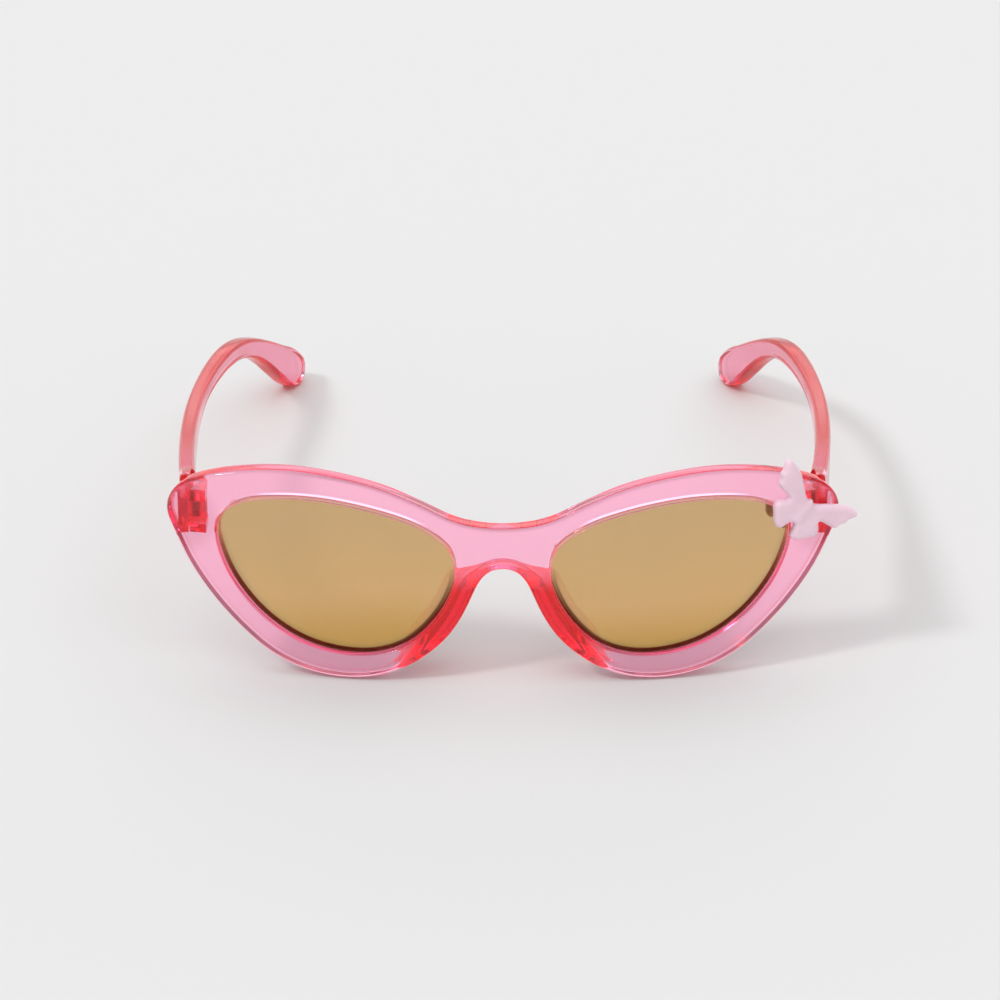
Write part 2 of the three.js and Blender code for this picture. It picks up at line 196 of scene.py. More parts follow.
def arc(radius, start, end):
    return [(radius * math.cos(a), radius * math.sin(a)) for a in np.linspace(start, end, ARC_STEPS)]


# ---- meshes ----

ROW_HEIGHT = 0.87  # of a triangular grid, over its spacing
GRID_MARGIN = 0.6  # between the grid and the loops, over its spacing
HULL_OUTPUT, TOUCHING = 0, 1e-7  # delaunay_2d_cdt's output type and tolerance
CORNER_PULL = 0.5
VOTES_NEEDED = 2
RIM_RING = 0.12  # a ring this far inside a rounded edge keeps its shading off the flat face
CYLINDER_SIDES = 72
SLAB_EDGE, SLAB_FLAT = 0.15, 0.14
SLAB_STEP, SLAB_FAIRING = 0.08, 7
CUTTER_STEP = 0.5


def triangle_grid(loop, spacing):
    """The points of an even triangular grid that are inside the loop."""
    low, high = loop.min(0), loop.max(0)
    rows = np.arange(low[1], high[1], spacing * ROW_HEIGHT)
    columns = np.arange(low[0], high[0], spacing)
    grid = np.array([(x + spacing / 2 * (i % 2), y) for i, y in enumerate(rows) for x in columns])
    return grid[inside(grid, loop)]


def cap(outer, holes, spacing):
    """Triangles between the loops, with an even grid of points inside them: (grid points, triangles)."""
    grid = triangle_grid(outer, spacing)
    for hole in holes:
        grid = grid[~inside(grid, hole)]
    for loop in [outer, *holes]:
        grid = grid[distance(grid, loop) > spacing * GRID_MARGIN]
    return grid, fill([outer, *holes], grid)


def fill(loops, extra):
    """Triangles over the loops' points and the extra points, inside the first loop and outside the rest."""
    points = np.concatenate([*loops, extra])
    edges, start = [], 0
    for loop in loops:
        count = len(loop)
        edges += [(start + i, start + (i + 1) % count) for i in range(count)]
        start += count
    found = delaunay_2d_cdt([Vector(p) for p in points], edges, [], HULL_OUTPUT, TOUCHING, True)
    origin = [sources[0] for sources in found[3]]
    faces = np.array([[origin[i] for i in face] for face in found[2]])
    return faces[covered(points, faces, loops)]


def covered(points, faces, loops):
    """Which triangles are inside the first loop and outside the rest, by votes of four places in each."""
    corners = points[faces]
    middle = corners.mean(1)
    near_corners = [(corners[:, k] + middle * CORNER_PULL) / (1 + CORNER_PULL) for k in range(3)]
    votes = np.zeros(len(faces), int)
    for sample in (middle, *near_corners):
        hit = inside(sample, loops[0])
        for hole in loops[1:]:
            hit &= ~inside(sample, hole)
        votes += hit
    return votes >= VOTES_NEEDED


def solid(outer, outer_profile, move, holes=(), hole_profile=None, spacing=None):
    """A plate with shaped edges. A profile gives (inset, depth) for each ring, front to back.

    The flat faces are filled with triangles of the given spacing, or with one polygon each without it."""
    vertices, faces, fronts, backs, start = [], [], [], [], 0
    for loop in [outer, *holes]:
        profile, sign = (outer_profile, -1) if loop is outer else (hole_profile, 1)
        count = len(loop)
        i = np.arange(count)
        j = (i + 1) % count
        rings = []
        for k, (inset, depth) in enumerate(profile):
            flat = loop + sign * normals(loop) * np.reshape(inset, (-1, 1))
            rings.append(np.column_stack([flat, np.broadcast_to(depth, count)]))
            if k:
                b = start + k * count
                a = b - count
                quads = np.column_stack([a + i, b + i, b + j, a + j])
                faces.append(quads if sign < 0 else quads[:, ::-1])
        fronts.append((rings[0], start))
        backs.append((rings[-1], start + (len(rings) - 1) * count))
        vertices += rings
        start += len(rings) * count
    faces = np.concatenate(faces).tolist()
    if not spacing:
        first, last = (ends[0][1] + np.arange(len(outer)) for ends in (fronts, backs))
        return move(np.concatenate(vertices)), [*faces, first.tolist(), last[::-1].tolist()]
    for ends, turn in ((fronts, 1), (backs, -1)):
        flats = [ring[:, :2] for ring, _ in ends]
        grid, triangles = cap(flats[0], flats[1:], spacing)
        vertices.append(np.column_stack([grid, np.full(len(grid), ends[0][0][:, 2].mean())]))
        indices = [first + np.arange(len(ring)) for ring, first in ends]
        indices = np.concatenate([*indices, start + np.arange(len(grid))])
        faces += indices[triangles][:, ::turn].tolist()
        start += len(grid)
    return move(np.concatenate(vertices)), faces


def build(name, vertices, faces):
    """A new object with this mesh, facing outwards."""
    mesh = bpy.data.meshes.new(name)
    mesh.from_pydata(np.asarray(vertices).tolist(), [], faces)
    mesh.validate()
    piece = bpy.data.objects.new(name, mesh)
    bpy.context.scene.collection.objects.link(piece)
    if mesh_volume(mesh) < 0:
        mesh.flip_normals()
    return piece


def mesh_volume(mesh):
    mesh.calc_loop_triangles()
    co = np.array([v.co for v in mesh.vertices])
    tri = np.array([t.vertices for t in mesh.loop_triangles])
    return np.einsum("ij,ij->i", co[tri[:, 0]], np.cross(co[tri[:, 1]], co[tri[:, 2]])).sum() / 6


def combine(piece, other, operation):
    """Joins the other solid to the piece, or cuts it away."""
    modifier = piece.modifiers.new("combine", "BOOLEAN")
    modifier.operation = operation
    modifier.solver = "MANIFOLD"
    modifier.object = other
    graph = bpy.context.evaluated_depsgraph_get()
    mesh = bpy.data.meshes.new_from_object(piece.evaluated_get(graph))
    piece.modifiers.clear()
    piece.data = mesh
    bpy.data.objects.remove(other)


def finish_piece(piece, body, material, node, sharp=35, masks=None):
    """Moves a finished piece from millimetres into the row frame, gives it its body and material, and hides
    the CAD part it stands for.

    The masks function gives the material's "deep_and_painted_shade" and "face" values from each point's place
    and facing: the red depth, or painted shade on the lenses, and where the painted glow goes."""
    mesh = piece.data
    if masks:
        points = np.array([v.co for v in mesh.vertices])
        facing = np.abs(np.array([v.normal for v in mesh.vertices]))
        for name, values in zip(("deep_and_painted_shade", "face"), masks(points, facing)):
            mesh.attributes.new(name, "FLOAT", "POINT").data.foreach_set("value", values.astype(np.float32))
    mesh.transform(TO_ROW)
    mesh.polygons.foreach_set("use_smooth", [True] * len(mesh.polygons))
    mesh.set_sharp_from_angle(angle=math.radians(sharp))
    mesh.materials.clear()
    mesh.materials.append(material)
    mesh.update()
    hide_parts(node)
    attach(piece, body)


def wrap(points):
    """From (x, up, depth) on the flat front to its place on the wrapped front."""
    x, up, depth = points.T
    angle, radius = x / WRAP_RADIUS, WRAP_RADIUS - depth
    return np.column_stack([radius * np.sin(angle), WRAP_RADIUS - radius * np.cos(angle), up])


def fillet(radius, depth, steps=7, back=False):
    """(inset, depth) pairs of a rounded edge that starts or ends at the given depth."""
    turn = np.linspace(0, math.pi / 2, steps)
    pairs = [(radius * (1 - math.sin(a)), radius * (1 - math.cos(a))) for a in turn]
    if back:
        return [(inset, depth - down) for inset, down in reversed(pairs)]
    return [(inset, depth + down) for inset, down in pairs]


def rounded(thickness, radius, flat=0.4):
    """The profile of a plate's rounded edge, with a flat rim just inside it."""
    return [
        (radius + flat, 0), (radius + RIM_RING, 0), *fillet(radius, 0),
        *fillet(radius, thickness, back=True), (radius + RIM_RING, thickness), (radius + flat, thickness),
    ]


def cylinder(radius, low, high, x, y):
    turn = np.linspace(0, 2 * math.pi, CYLINDER_SIDES, endpoint=False)
    ring = np.column_stack([x + radius * np.cos(turn), y + radius * np.sin(turn)])
    points = np.vstack([np.column_stack([ring, np.full(CYLINDER_SIDES, z)]) for z in (low, high)])
    i = np.arange(CYLINDER_SIDES)
    j = (i + 1) % CYLINDER_SIDES
    faces = np.column_stack([i, j, CYLINDER_SIDES + j, CYLINDER_SIDES + i]).tolist()
    return build("cutter", points, [*faces, i[::-1].tolist(), (CYLINDER_SIDES + i).tolist()])


def slab(outline, low, high, side, turn=0.0, radius=SLAB_EDGE):
    """A plate drawn from above about a hinge, between two heights, with rounded edges."""
    loop = even(np.array(outline, float), SLAB_STEP if radius else CUTTER_STEP)
    profile = [(0, 0), (0, high - low)]
    if radius:
        loop = faired(loop, SLAB_FAIRING)
        profile = rounded(high - low, radius, SLAB_FLAT)

    def move(points):
        x, y = turned(points[:, 0], points[:, 1], turn)
        return np.column_stack([side * (HINGE[0] + x), HINGE[1] + y, high - points[:, 2]])

    return build("slab", *solid(loop, profile, move))


# ---- materials ----

PALE = (1.0, 0.97, 0.98)
PLASTIC_IOR = 1.49
ABSORPTION_DENSITY = 560
PAINTED_GLOW_COLOUR = (1.0, 0.66, 0.86, 1)  # painted glow: a faint pink emission that brightens the plastic's front face
PAINTED_GLOW_STRENGTH = 0.12
RIPPLE_HEIGHT_M = 0.000004

LENS_HEIGHT_M = 0.04
LENS_WANDER = 0.3
# by height: the gold lens colour, darker and more golden towards the bottom as a painted reflection of the
# shaded floor near the rim
LENS_COLOURS = [(0.3, (0.78, 0.5, 0.15)), (0.55, (0.82, 0.56, 0.26)), (0.95, (0.75, 0.53, 0.27))]
# painted shade along the lens's lower edge, where the rim shades it
PAINTED_LENS_SHADE = (0.2, 0.07, 0.02, 1)
LENS_METALLIC, LENS_IOR = 0.6, 1.5

STEEL_COLOURS = [(0.3, (0.42, 0.42, 0.43)), (0.8, (0.7, 0.7, 0.71))]
PEARL_COLOURS = [(0.35, (0.86, 0.62, 0.72)), (0.7, (0.94, 0.70, 0.80))]
PEARL_GRAIN_M = 0.00001


def node_material(name):
    material = bpy.data.materials.new(name)
    material.use_nodes = True
    tree = material.node_tree
    return material, tree, tree.nodes["Principled BSDF"]


def set_inputs(node, **values):
    """Sets a node's sockets to constants; an underscore in a name stands for a space."""
    for name, value in values.items():
        node.inputs[name.replace("_", " ")].default_value = value


def attribute(tree, name):
    node = tree.nodes.new("ShaderNodeAttribute")
    node.attribute_name = name
    return node.outputs["Fac"]


def calculate(tree, operation, *values):
    """A math node over sockets and numbers."""
    node = tree.nodes.new("ShaderNodeMath")
    node.operation = operation
    for socket, value in zip(node.inputs, values):
        if isinstance(value, (int, float)):
            socket.default_value = value
        else:
            tree.links.new(value, socket)
    return node.outputs[0]


def share_of_range(tree, source, low, high):
    """0 at low and 1 at high."""
    node = tree.nodes.new("ShaderNodeMapRange")
    set_inputs(node, From_Min=low, From_Max=high)
    tree.links.new(source, node.inputs["Value"])
    return node.outputs["Result"]


def split_coordinates(tree, kind):
    coordinates = tree.nodes.new("ShaderNodeTexCoord")
    split = tree.nodes.new("ShaderNodeSeparateXYZ")
    tree.links.new(coordinates.outputs[kind], split.inputs["Vector"])
    return split.outputs


def noise(tree, scale, detail=3.0, stretch=(1, 1, 1)):
    coordinates = tree.nodes.new("ShaderNodeTexCoord")
    mapping = tree.nodes.new("ShaderNodeMapping")
    texture = tree.nodes.new("ShaderNodeTexNoise")
    set_inputs(mapping, Scale=stretch)
    set_inputs(texture, Scale=scale, Detail=detail)
    tree.links.new(coordinates.outputs["Object"], mapping.inputs["Vector"])
    tree.links.new(mapping.outputs["Vector"], texture.inputs["Vector"])
    return texture.outputs["Fac"]


def ramp(tree, source, stops):
    """A colour or value ramp; stops are (position, value or colour)."""
    node = tree.nodes.new("ShaderNodeValToRGB")
    for i, (position, value) in enumerate(stops):
        element = node.color_ramp.elements[i] if i < 2 else node.color_ramp.elements.new(position)
        element.position = position
        element.color = (*(value if isinstance(value, tuple) else (value,) * 3), 1)
    tree.links.new(source, node.inputs["Fac"])
    return node.outputs["Color"]


def uneven_roughness(tree, shader, scale, *stops):
    tree.links.new(ramp(tree, noise(tree, scale), stops), shader.inputs["Roughness"])


def bump(tree, height, shader, distance_m, strength=1.0):
    node = tree.nodes.new("ShaderNodeBump")
    set_inputs(node, Strength=strength, Distance=distance_m)
    tree.links.new(height, node.inputs["Height"])
    tree.links.new(node.outputs["Normal"], shader.inputs["Normal"])


def clear_plastic(name, absorbed, thick_colour, roughness):
    """Clear moulded plastic, coloured by its depth and redder where the mould is thick, with a painted glow
    on the front face where the face attribute says so.
    """
    material, tree, shader = node_material(name)
    colour = ramp(tree, attribute(tree, "deep_and_painted_shade"), [(0, PALE), (1, thick_colour)])
    tree.links.new(colour, shader.inputs["Base Color"])
    set_inputs(shader, Transmission_Weight=1, IOR=PLASTIC_IOR, Emission_Color=PAINTED_GLOW_COLOUR)
    # painted glow: emission on the front face, where the face attribute says so
    painted_glow = calculate(tree, "MULTIPLY", attribute(tree, "face"), PAINTED_GLOW_STRENGTH)
    tree.links.new(painted_glow, shader.inputs["Emission Strength"])
    uneven_roughness(tree, shader, 90, (0.3, roughness[0]), (0.75, roughness[1]))
    bump(tree, noise(tree, 220, 2), shader, RIPPLE_HEIGHT_M)
    volume = tree.nodes.new("ShaderNodeVolumeAbsorption")
    set_inputs(volume, Color=(*absorbed, 1), Density=ABSORPTION_DENSITY)
    tree.links.new(volume.outputs["Volume"], tree.nodes["Material Output"].inputs["Volume"])
    return material


def mirror_lens():
    """A half mirror, darker and more golden at the bottom as a painted reflection of the shaded floor, and
    paler at the top, with painted shade along the lower edge where deep_and_painted_shade says so.
    """
    material, tree, shader = node_material("gold_mirror")
    # the lens darkens towards the bottom: painted reflection of the shaded floor
    rise = share_of_range(tree, split_coordinates(tree, "Object")["Z"], 0, LENS_HEIGHT_M)
    wander = calculate(tree, "MULTIPLY_ADD", noise(tree, 30, 2), LENS_WANDER, rise)
    # mixes the painted shade into the lens colour along its lower edge
    shaded = tree.nodes.new("ShaderNodeMix")
    shaded.data_type = "RGBA"
    tree.links.new(attribute(tree, "deep_and_painted_shade"), shaded.inputs["Factor"])
    tree.links.new(ramp(tree, wander, LENS_COLOURS), shaded.inputs["A"])
    set_inputs(shaded, B=PAINTED_LENS_SHADE)
    tree.links.new(shaded.outputs["Result"], shader.inputs["Base Color"])
    set_inputs(shader, Metallic=LENS_METALLIC, Transmission_Weight=1, IOR=LENS_IOR)
    uneven_roughness(tree, shader, 60, (0.3, 0.05), (0.8, 0.12))
    return material


def steel():
    """Brushed steel, with its grain round the screw."""
    material, tree, shader = node_material("screw_steel")
    set_inputs(shader, Metallic=1)
    tree.links.new(ramp(tree, noise(tree, 900, 4, (1, 1, 8)), STEEL_COLOURS), shader.inputs["Base Color"])
    uneven_roughness(tree, shader, 700, (0.3, 0.2), (0.8, 0.4))
    return material


def pearl():
    """Soft pink pearly plastic with a fine grain."""
    material, tree, shader = node_material("pearl_pink")
    tree.links.new(ramp(tree, noise(tree, 160), PEARL_COLOURS), shader.inputs["Base Color"])
    set_inputs(shader, Subsurface_Weight=0.35, Subsurface_Radius=(1.0, 0.7, 0.8), Subsurface_Scale=0.001)
    set_inputs(shader, Sheen_Weight=0.15)
    uneven_roughness(tree, shader, 300, (0.3, 0.32), (0.8, 0.45))
    bump(tree, noise(tree, 1200, 2), shader, PEARL_GRAIN_M, 0.4)
    return material


pink = clear_plastic("clear_pink", (1.0, 0.72, 0.84), (1.0, 0.04, 0.04), (0.015, 0.05))
temple_pink = clear_plastic("clear_temple_pink", (1.0, 0.70, 0.80), (0.9, 0.018, 0.02), (0.1, 0.2))
gold = mirror_lens()
metal = steel()
pearly = pearl()

# ---- front ----

OUTLINE_STEP, OUTLINE_FAIRING = 0.45, 2.5
FRONT_FILLET, BACK_FILLET = 0.9, 0.7
FRONT_GRID = 2.0
RIDGE_FAIRING = 3
LEAST_RIDGE = 0.02
LIP = 0.35

front_loop = faired(even(smooth_line(FRONT_HALF + mirrored(FRONT_HALF[1:-1])), OUTLINE_STEP), OUTLINE_FAIRING)
opening_right = faired(even(smooth_line(OPENING), OUTLINE_STEP), OUTLINE_FAIRING)
opening_left = even(opening_right * (-1, 1), OUTLINE_STEP)


def faired_values(values):
    return faired(values[:, None], RIDGE_FAIRING)[:, 0]


def ridge_height(loop):
    """How far the nose ridge stands out behind the front, at each point of the outline."""
    x, y = np.abs(loop[:, 0]), loop[:, 1]
    arch = smoothstep(y, PAD_TOP, SADDLE_BOTTOM)
    foot = 1 - smoothstep(x, PAD_FADE, PAD_FOOT)
    height = np.where(y < NOSE_HEIGHT, (PAD_DEPTH + (SADDLE_DEPTH - PAD_DEPTH) * arch) * foot, 0)
    height = faired_values(height)
    return np.where(height < LEAST_RIDGE, 0, height)


def ridge_width(loop):
    """The nose ridge is narrow over the arch and wide in the pads."""
    x, y = np.abs(loop[:, 0]), loop[:, 1]
    foot = (1 - smoothstep(x, PAD_FADE, PAD_FOOT)) * (y < NOSE_HEIGHT)
    pad = foot * (1 - smoothstep(y, PAD_TOP + 0.8, SADDLE_BOTTOM - 0.6))
    return SADDLE_WIDTH + (PAD_WIDTH - SADDLE_WIDTH) * faired_values(pad)


def front_profile(loop):
    """The front's outer edge, which runs back into the nose saddle and pads round the nose."""
    height = ridge_height(loop)
    width = ridge_width(loop)
    side = FRONT_THICKNESS - BACK_FILLET
    down = np.minimum(BACK_FILLET, height)
    profile = [(FRONT_FILLET + 0.5, 0), (FRONT_FILLET + 0.15, 0), *fillet(FRONT_FILLET, 0, 9)]
    profile += [(0, side + height * share) for share in (0, 0.3, 0.65)]
    profile += [(inset, depth + height) for inset, depth in fillet(BACK_FILLET, FRONT_THICKNESS, back=True)]
    for a in np.linspace(0, math.pi / 2, 6):
        inset = width - BACK_FILLET * (1 - math.sin(a))
        profile.append((inset, FRONT_THICKNESS + height - down * (1 - math.cos(a))))
    profile += [(width, FRONT_THICKNESS + (height - down) * share) for share in (0.6, 0.2)]
    profile += [(width + inset, FRONT_THICKNESS) for inset in (RIM_RING, 0.35)]
    return profile


def front_move(points):
    """Wraps the front, and leans the nose ridge outwards towards its back."""
    x, up, depth = points.T
    behind = np.maximum(depth - FRONT_THICKNESS + GAP, 0) * (depth > FRONT_THICKNESS + 1e-6)
    lean_out = np.clip(x / NOSE_SIDE, -1, 1) * behind * PAD_SPLAY
    return wrap(np.column_stack([x + lean_out, up, depth]))


groove_front, groove_back = LENS_FRONT - GAP, LENS_FRONT + LENS_THICKNESS + GAP
opening_profile = [
    (LIP + 0.5, 0), (LIP + RIM_RING, 0), *fillet(LIP, 0, 6), (0, groove_front * 0.6), (0, groove_front),
    (GROOVE_DEPTH, groove_front), (GROOVE_DEPTH, groove_back), (0, groove_back),
    *fillet(LIP / 2, FRONT_THICKNESS, 4, back=True), (LIP, FRONT_THICKNESS), (LIP + 0.4, FRONT_THICKNESS),
]
openings = [opening_right, opening_left]
front = build("front", *solid(
    front_loop, front_profile(front_loop), front_move, openings, opening_profile, FRONT_GRID))

EAR_ROOT_INSIDE, EAR_ROOT_OUTSIDE = -7.2, -6.4  # how far ahead of the hinge the ears start, in the front
ABOVE = 1.0  # how far a cutter stands out

tongue_low, tongue_high = HINGE[2] - TONGUE_HEIGHT / 2, HINGE[2] + TONGUE_HEIGHT / 2
ear_outside = HEEL_INSIDE - GAP
ear_round = arc(EAR_RADIUS, -math.acos(ear_outside / EAR_RADIUS), math.pi)
ear = [(ear_outside, EAR_ROOT_OUTSIDE), *ear_round, (-EAR_RADIUS, EAR_ROOT_INSIDE)]
for side in (1, -1):
    for low, high in ((EAR_BOTTOM, tongue_low - GAP), (tongue_high + GAP, EAR_TOP)):
        combine(front, slab(ear, low, high, side), "UNION")
    x, y = side * HINGE[0], HINGE[1]
    combine(front, cylinder(SCREW_RADIUS + GAP, SCREW_END - GAP, EAR_TOP + ABOVE, x, y), "DIFFERENCE")
    head_bottom = EAR_TOP - SCREW_HEAD_HEIGHT - GAP
    combine(front, cylinder(SCREW_HEAD_RADIUS + GAP, head_bottom, EAR_TOP + ABOVE, x, y), "DIFFERENCE")

EDGE_RED, PAD_RED = 0.35, 0.8
EDGE_FACING = (0.2, 0.6)  # how far a surface faces backwards or forwards, from an edge to a face
CLEAR_OF_HINGE, CLEAR_OF_PADS = (3.5, 6.5), (PAD_FADE + 1, PAD_FOOT)


def front_masks(points, facing):
    """Red on the hinge ears, the nose pads and the edges, and a painted glow on the front face away from
    them.
    """
    depth = WRAP_RADIUS - np.hypot(points[:, 0], WRAP_RADIUS - points[:, 1])
    x, up = np.abs(points[:, 0]), points[:, 2]
    edge = EDGE_RED * (1 - smoothstep(facing[:, 1], *EDGE_FACING))
    standing_out = smoothstep(depth, FRONT_THICKNESS - 0.2, FRONT_THICKNESS + 1.2)
    beside_hinge = smoothstep(np.hypot(x - HINGE[0] - 1, (up - HINGE[2]) * 0.8), *CLEAR_OF_HINGE)
    beside_pads = np.maximum(smoothstep(up, PAD_TOP, SADDLE_BOTTOM), smoothstep(x, *CLEAR_OF_PADS))
    at_back = smoothstep(depth, FRONT_THICKNESS - 0.8, FRONT_THICKNESS - 0.1)
    pad = (1 - beside_pads) * (PAD_RED + (1 - PAD_RED) * at_back)
    # the second value places the painted glow: the front face, away from the hinge and the pads
    at_front = 1 - smoothstep(depth, 0.02, 0.2)
    return np.maximum(np.maximum(standing_out, edge), pad), at_front * np.minimum(beside_hinge, beside_pads)


finish_piece(front, "front", pink, "front_frame", masks=front_masks)

# ---- lenses ----

LENS_EDGE = 0.12
LENS_GRID = 1.2
LENS_RINGS = (1.9, 1.6, 1.35, 1.1, 0.8)  # insets of the rings that carry the painted shade along the edge
PAINTED_SHADE_SPAN = (1.1, 1.4)  # where the painted shade fades out, from the lens's edge


def lens(name, opening):
    outline = opening + normals(opening) * (GROOVE_DEPTH - GAP)
    profile = [(inset, 0) for inset in LENS_RINGS] + rounded(LENS_THICKNESS, LENS_EDGE)
    profile = [(inset, LENS_FRONT + depth) for inset, depth in profile]

    def lens_masks(points, facing):
        """Painted shade on the strip along the lens's lower edge, where the deep rim casts shade, and no
        painted glow.
        """
        angle = np.arctan2(points[:, 0], WRAP_RADIUS - points[:, 1])
        flat = np.column_stack([WRAP_RADIUS * angle, points[:, 2]])
        apart = np.sqrt(((flat[:, None] - outline[None]) ** 2).sum(2))
        downward = smoothstep(-normals(outline)[apart.argmin(1), 1], -0.1, 0.6)
        return (1 - smoothstep(apart.min(1), *PAINTED_SHADE_SPAN)) * downward, np.zeros(len(points))

    piece = build(f"mirror_lens_{name}", *solid(outline, profile, wrap, spacing=LENS_GRID))
    finish_piece(piece, "front", gold, f"lens_{name}", masks=lens_masks)


lens("left", opening_right)
lens("right", opening_left)

# ---- hinge screws ----

SCREW_SIDES = 64
THREAD_PITCH, THREAD_DEPTH = 0.35, 0.09
THREAD_RINGS = 7  # for each pitch
THREAD_LENGTH, THREAD_FADE = 2.2, 0.4
CENTRE = 0.02  # radius of the small faces at a screw's ends
HEAD_BEVEL = 0.06
DOME_WIDTH, DOME_HEIGHT = 0.5, 0.4
SLOT_WIDTH, SLOT_DEPTH = 0.5, 0.4


def screw_outline():
    """(radius, height) from the screw's point to the top of its domed head."""
    neck = EAR_TOP - SCREW_HEAD_HEIGHT
    dome = EAR_TOP - DOME_HEIGHT
    heights = np.arange(SCREW_END + 0.12, neck - 0.02, THREAD_PITCH / THREAD_RINGS)
    rings = [(CENTRE, SCREW_END), (SCREW_RADIUS * 0.75, SCREW_END)]
    rings += [(SCREW_RADIUS, z) for z in heights]
    rings += [(SCREW_RADIUS, neck), (SCREW_HEAD_RADIUS - HEAD_BEVEL, neck)]
    rings += [(SCREW_HEAD_RADIUS, neck + HEAD_BEVEL), (SCREW_HEAD_RADIUS, dome)]
    for a in np.linspace(0.15, math.pi / 2, 7)[:-1]:
        rings.append((SCREW_HEAD_RADIUS - DOME_WIDTH * (1 - math.cos(a)), dome + DOME_HEIGHT * math.sin(a)))
    return rings + [(0.6, EAR_TOP), (CENTRE, EAR_TOP)]


def thread_cut(radius, z, turn):
    """How deep the thread is at a height, all round the screw."""
    thread_top = tongue_low + THREAD_LENGTH
    if radius > SCREW_RADIUS or not SCREW_END + 0.1 < z < thread_top:
        return 0
    phase = ((z - SCREW_END) / THREAD_PITCH - turn / (2 * math.pi)) % 1
    return THREAD_DEPTH * min(1, (thread_top - z) / THREAD_FADE) * np.abs(2 * phase - 1)


def screw(name, side):
    """A slotted screw with a domed head and a thread below the tongue."""
    turn = np.linspace(0, 2 * math.pi, SCREW_SIDES, endpoint=False)
    middle_x, middle_y = side * HINGE[0], HINGE[1]
    rings = screw_outline()
    points = []
    for radius, z in rings:
        r = radius - thread_cut(radius, z, turn)
        ring = (middle_x + r * np.cos(turn), middle_y + r * np.sin(turn), np.full(SCREW_SIDES, z))
        points.append(np.column_stack(ring))
    i = np.arange(SCREW_SIDES)
    j = (i + 1) % SCREW_SIDES
    faces = []
    for k in range(len(rings) - 1):
        a, b = k * SCREW_SIDES, (k + 1) * SCREW_SIDES
        faces += np.column_stack([a + i, a + j, b + j, b + i]).tolist()
    faces += [i[::-1].tolist(), ((len(rings) - 1) * SCREW_SIDES + i).tolist()]
    piece = build(f"slotted_screw_{name}", np.vstack(points), faces)
    box = [(x, y) for x in (-2, 2) for y in (-SLOT_WIDTH / 2, SLOT_WIDTH / 2)]
    heights = (EAR_TOP - SLOT_DEPTH, EAR_TOP + ABOVE)
    corners = [(middle_x + x, middle_y + y, z) for z in heights for x, y in box]
    slot_faces = [(0, 2, 3, 1), (4, 5, 7, 6), (0, 1, 5, 4), (2, 6, 7, 3), (0, 4, 6, 2), (1, 3, 7, 5)]
    combine(piece, build("cutter", corners, slot_faces), "DIFFERENCE")
    finish_piece(piece, "front", metal, f"hinge_screw_{name}", sharp=30)


screw("left", 1)
screw("right", -1)

# ---- temples ----

TEMPLE_STEP, TEMPLE_FAIRING = 0.5, 2.0
TEMPLE_GRID = 1.6
TEMPLE_ROUND = 0.95
MIDDLE_STEPS = 24
FAR = 9  # from the hinge to the ends of the cutters
FACE_CUTTER, FACE_STEP = 12, 0.8
TEMPLE_EDGE_RED = 1.0
EDGE_UPWARD = (0.35, 0.8)  # how far a surface faces up or down, from a side to an edge


def heading(along):
    """The temple's direction seen from above, at each distance from the hinge."""
    t = along / TEMPLE_LENGTH
    return -SPLAY_ANGLE + EVEN_CURL * t + EAR_CURL * smoothstep(t, *EAR_CURL_RANGE)


def middle_line(along):
    """The temple's middle line seen from above: (outwards, behind) at each distance from the hinge."""
    x, y = np.full(len(along), TEMPLE_OUTSIDE - SHAFT_THICKNESS / 2), np.zeros(len(along))
    for i in range(MIDDLE_STEPS):
        turn = heading(along * (i + 0.5) / MIDDLE_STEPS)
        x -= np.sin(turn) * along / MIDDLE_STEPS
        y += np.cos(turn) * along / MIDDLE_STEPS
    return x, y


def cut_hinge_space(piece, side):
    """Cuts the space that the ears and the front need, and leaves a roof over the upper ear."""
    low, high = HINGE[2] - FAR, HINGE[2] + FAR
    hinge = (side * HINGE[0], HINGE[1])
    swing = [(-FAR, -FAR), (HEEL_INSIDE, -FAR), (HEEL_INSIDE, 0), (-FAR, 0)]
    corners = [(dx * FACE_CUTTER, dz * FACE_CUTTER) for dx, dz in ((-1, -1), (1, -1), (1, 1), (-1, 1))]
    face = even(np.array([(side * (HINGE[0] + dx), HINGE[2] + dz) for dx, dz in corners]), FACE_STEP)
    block = [(0, -GAP), (0, FRONT_THICKNESS + GAP)]
    combine(piece, cylinder(EAR_RADIUS + GAP, low, tongue_low, *hinge), "DIFFERENCE")
    combine(piece, cylinder(EAR_RADIUS + GAP, tongue_high, EAR_TOP + GAP, *hinge), "DIFFERENCE")
    combine(piece, slab(swing, low, high, side, radius=0), "DIFFERENCE")
    combine(piece, build("cutter", *solid(face, block, wrap)), "DIFFERENCE")


def temple_masks(points, facing):
    """Red at the hinge, apart from the roof, and along the upper and lower edges, and no painted glow."""
    heel = 1 - smoothstep(points[:, 1], HINGE[1] - 1, HINGE[1] + 3)
    heel *= 1 - smoothstep(points[:, 2], EAR_TOP - 2, EAR_TOP + 0.5)
    edge = smoothstep(facing[:, 2], *EDGE_UPWARD) * smoothstep(points[:, 1], HINGE[1] + 2, HINGE[1] + 30)
    return np.maximum(heel, TEMPLE_EDGE_RED * edge), np.zeros(len(points))


